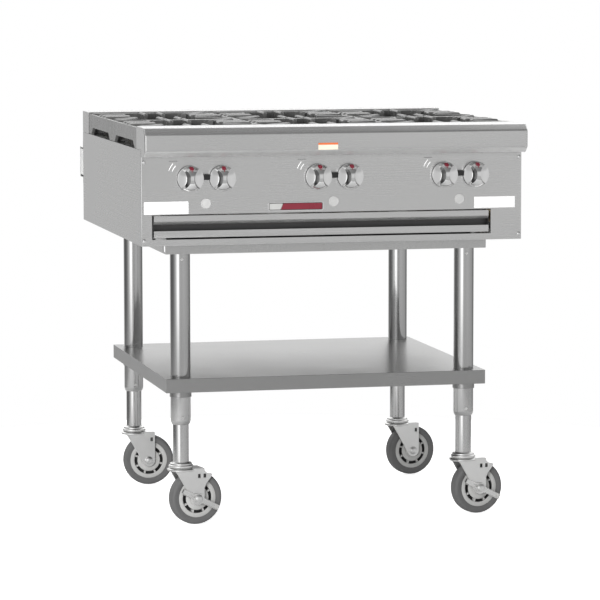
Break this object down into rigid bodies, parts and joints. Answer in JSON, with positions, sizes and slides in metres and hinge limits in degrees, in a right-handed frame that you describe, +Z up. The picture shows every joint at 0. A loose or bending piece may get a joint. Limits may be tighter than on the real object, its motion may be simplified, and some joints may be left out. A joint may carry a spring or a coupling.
{
  "type": "commercial gas range",
  "caption": "Free-standing restaurant gas cooktop: open burners under lift-off cast grates, chrome knobs, a crumb tray, and a stainless stand with undershelf and swivel casters.",
  "frame": {"origin": "on the floor, under the centre of the bounding box", "axes": "+X to the right as a cook faces the knobs, +Y from the front to the back, +Z up"},
  "size_m": [0.9144, 0.9202, 0.949],
  "materials": {
    "brushed_stainless": "brushed along the sheet",
    "polished_stainless": "polished tube",
    "chrome": "bright plated",
    "cast_iron": "bare casting, slightly oiled",
    "brass": "as machined",
    "zinc_plate": "bright zinc plated steel",
    "wheel_core_grey": "moulded, light grey",
    "grey_tyre": "matte grey tread",
    "black_trim": "small black trim between the knobs",
    "white_label": "blank label",
    "red_enamel": "red paint on marks and on the blank nameplate"
  },
  "bodies": {
    "range_body": {"left_side_panel": "brushed_stainless", "right_side_panel": "brushed_stainless", "valve_panel": "brushed_stainless", "rear_panel": "brushed_stainless", "bottom_pan": "brushed_stainless", "front_rail": "brushed_stainless", "stub_back": "brushed_stainless", "rear_spacer_left": "brushed_stainless", "rear_spacer_right": "brushed_stainless", "nameplate": "chrome", "burner_grid": "brushed_stainless", "gas_manifold": "brass", "stand_frame": "brushed_stainless", "undershelf": "brushed_stainless", "burner_front_left": "cast_iron", "burner_front_centre": "cast_iron", "burner_front_right": "cast_iron", "burner_rear_left": "cast_iron", "burner_rear_centre": "cast_iron", "burner_rear_right": "cast_iron", "leg_front_left": "polished_stainless", "leg_insert_front_left": "zinc_plate", "leg_front_right": "polished_stainless", "leg_insert_front_right": "zinc_plate", "leg_rear_left": "polished_stainless", "leg_insert_rear_left": "zinc_plate", "leg_rear_right": "polished_stainless", "leg_insert_rear_right": "zinc_plate"},
    "crumb_tray": {"crumb_tray": "brushed_stainless"},
    "knob_rear_left": {"knob_rear_left": "chrome"},
    "knob_front_left": {"knob_front_left": "chrome"},
    "knob_rear_centre": {"knob_rear_centre": "chrome"},
    "knob_front_centre": {"knob_front_centre": "chrome"},
    "knob_rear_right": {"knob_rear_right": "chrome"},
    "knob_front_right": {"knob_front_right": "chrome"},
    "grate_front_left": {"grate_front_left": "cast_iron"},
    "grate_front_centre": {"grate_front_centre": "cast_iron"},
    "grate_front_right": {"grate_front_right": "cast_iron"},
    "grate_rear_left": {"grate_rear_left": "cast_iron"},
    "grate_rear_centre": {"grate_rear_centre": "cast_iron"},
    "grate_rear_right": {"grate_rear_right": "cast_iron"},
    "caster_front_left": {"caster_fork_front_left": "zinc_plate", "axle_bolt_front_left": "zinc_plate"},
    "wheel_front_left": {"wheel_core_front_left": "wheel_core_grey", "tyre_front_left": "grey_tyre"},
    "brake_lever_front_left": {"brake_lever_front_left": "zinc_plate"},
    "caster_front_right": {"caster_fork_front_right": "zinc_plate", "axle_bolt_front_right": "zinc_plate"},
    "wheel_front_right": {"wheel_core_front_right": "wheel_core_grey", "tyre_front_right": "grey_tyre"},
    "brake_lever_front_right": {"brake_lever_front_right": "zinc_plate"},
    "caster_rear_left": {"caster_fork_rear_left": "zinc_plate", "axle_bolt_rear_left": "zinc_plate"},
    "wheel_rear_left": {"wheel_core_rear_left": "wheel_core_grey", "tyre_rear_left": "grey_tyre"},
    "caster_rear_right": {"caster_fork_rear_right": "zinc_plate", "axle_bolt_rear_right": "zinc_plate"},
    "wheel_rear_right": {"wheel_core_rear_right": "wheel_core_grey", "tyre_rear_right": "grey_tyre"}
  },
  "joints": [
    {"name": "crumb_tray_slide", "type": "slide", "parent": "range_body", "child": "crumb_tray", "axis": [0, -1, 0], "range_m": [0, 0.6]},
    {"name": "knob_rear_left_turn", "type": "hinge", "parent": "range_body", "child": "knob_rear_left", "pos_m": [-0.3428, -0.4086, 0.828], "axis": [0, -1, 0], "range_deg": [0, 90]},
    {"name": "knob_front_left_turn", "type": "hinge", "parent": "range_body", "child": "knob_front_left", "pos_m": [-0.2668, -0.4086, 0.828], "axis": [0, -1, 0], "range_deg": [0, 90]},
    {"name": "knob_rear_centre_turn", "type": "hinge", "parent": "range_body", "child": "knob_rear_centre", "pos_m": [-0.038, -0.4086, 0.828], "axis": [0, -1, 0], "range_deg": [0, 90]},
    {"name": "knob_front_centre_turn", "type": "hinge", "parent": "range_body", "child": "knob_front_centre", "pos_m": [0.038, -0.4086, 0.828], "axis": [0, -1, 0], "range_deg": [0, 90]},
    {"name": "knob_rear_right_turn", "type": "hinge", "parent": "range_body", "child": "knob_rear_right", "pos_m": [0.2668, -0.4086, 0.828], "axis": [0, -1, 0], "range_deg": [0, 90]},
    {"name": "knob_front_right_turn", "type": "hinge", "parent": "range_body", "child": "knob_front_right", "pos_m": [0.3428, -0.4086, 0.828], "axis": [0, -1, 0], "range_deg": [0, 90]},
    {"name": "grate_front_left_lift", "type": "slide", "parent": "range_body", "child": "grate_front_left", "axis": [0, 0, 1], "range_m": [0, 0.1]},
    {"name": "grate_front_centre_lift", "type": "slide", "parent": "range_body", "child": "grate_front_centre", "axis": [0, 0, 1], "range_m": [0, 0.1]},
    {"name": "grate_front_right_lift", "type": "slide", "parent": "range_body", "child": "grate_front_right", "axis": [0, 0, 1], "range_m": [0, 0.1]},
    {"name": "grate_rear_left_lift", "type": "slide", "parent": "range_body", "child": "grate_rear_left", "axis": [0, 0, 1], "range_m": [0, 0.1]},
    {"name": "grate_rear_centre_lift", "type": "slide", "parent": "range_body", "child": "grate_rear_centre", "axis": [0, 0, 1], "range_m": [0, 0.1]},
    {"name": "grate_rear_right_lift", "type": "slide", "parent": "range_body", "child": "grate_rear_right", "axis": [0, 0, 1], "range_m": [0, 0.1]},
    {"name": "caster_front_left_swivel", "type": "hinge", "parent": "range_body", "child": "caster_front_left", "pos_m": [-0.3463, -0.3025, 0.1335], "axis": [0, 0, 1], "continuous": true},
    {"name": "wheel_front_left_spin", "type": "hinge", "parent": "caster_front_left", "child": "wheel_front_left", "pos_m": [-0.31134, -0.29634, 0.0635], "axis": [-0.1736, 0.9848, 0], "continuous": true},
    {"name": "brake_lever_front_left_rock", "type": "hinge", "parent": "caster_front_left", "child": "brake_lever_front_left", "pos_m": [-0.31134, -0.29634, 0.0635], "axis": [0.1736, -0.9848, 0], "range_deg": [0, 50]},
    {"name": "caster_front_right_swivel", "type": "hinge", "parent": "range_body", "child": "caster_front_right", "pos_m": [0.3463, -0.3025, 0.1335], "axis": [0, 0, 1], "continuous": true},
    {"name": "wheel_front_right_spin", "type": "hinge", "parent": "caster_front_right", "child": "wheel_front_right", "pos_m": [0.38115, -0.29573, 0.0635], "axis": [-0.1908, 0.9816, 0], "continuous": true},
    {"name": "brake_lever_front_right_rock", "type": "hinge", "parent": "caster_front_right", "child": "brake_lever_front_right", "pos_m": [0.38115, -0.29573, 0.0635], "axis": [0.1908, -0.9816, 0], "range_deg": [0, 50]},
    {"name": "caster_rear_left_swivel", "type": "hinge", "parent": "range_body", "child": "caster_rear_left", "pos_m": [-0.3463, 0.3236, 0.1335], "axis": [0, 0, 1], "continuous": true},
    {"name": "wheel_rear_left_spin", "type": "hinge", "parent": "caster_rear_left", "child": "wheel_rear_left", "pos_m": [-0.31094, 0.32051, 0.0635], "axis": [0.0872, 0.9962, 0], "continuous": true},
    {"name": "caster_rear_right_swivel", "type": "hinge", "parent": "range_body", "child": "caster_rear_right", "pos_m": [0.3463, 0.3236, 0.1335], "axis": [0, 0, 1], "continuous": true},
    {"name": "wheel_rear_right_spin", "type": "hinge", "parent": "caster_rear_right", "child": "wheel_rear_right", "pos_m": [0.38136, 0.32915, 0.0635], "axis": [-0.1564, 0.9877, 0], "continuous": true}
  ]
}
